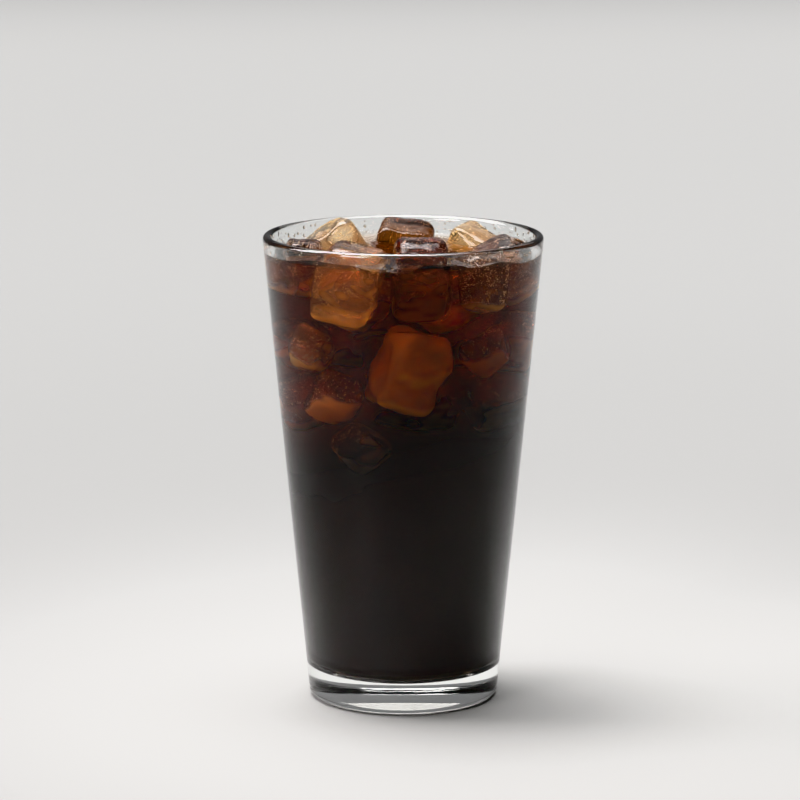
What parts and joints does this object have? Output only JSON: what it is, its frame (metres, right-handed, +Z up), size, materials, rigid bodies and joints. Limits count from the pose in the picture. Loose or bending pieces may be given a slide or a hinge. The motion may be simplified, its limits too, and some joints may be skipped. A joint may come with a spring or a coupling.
{
  "type": "cold brew coffee",
  "caption": "Black cold brew coffee with ice cubes, in a tapered clear pint glass with a heavy base, filled nearly to the rim.",
  "frame": {"origin": "centre of the glass's foot, on the surface that it stands on", "axes": "+Z up along the axis of the glass, -Y towards the front that the picture shows, +X to the right seen from there"},
  "size_m": [0.0887, 0.0886, 0.1524],
  "materials": {
    "glass": "polished",
    "coffee": "gloss",
    "ice": "gloss"
  },
  "bodies": {
    "root": {"glass": "glass", "coffee": "coffee", "ice_back_left": "ice", "ice_back": "ice", "ice_back_right": "ice", "ice_right": "ice", "ice_front_right": "ice", "ice_front": "ice", "ice_front_left": "ice", "ice_left": "ice"}
  },
  "joints": []
}
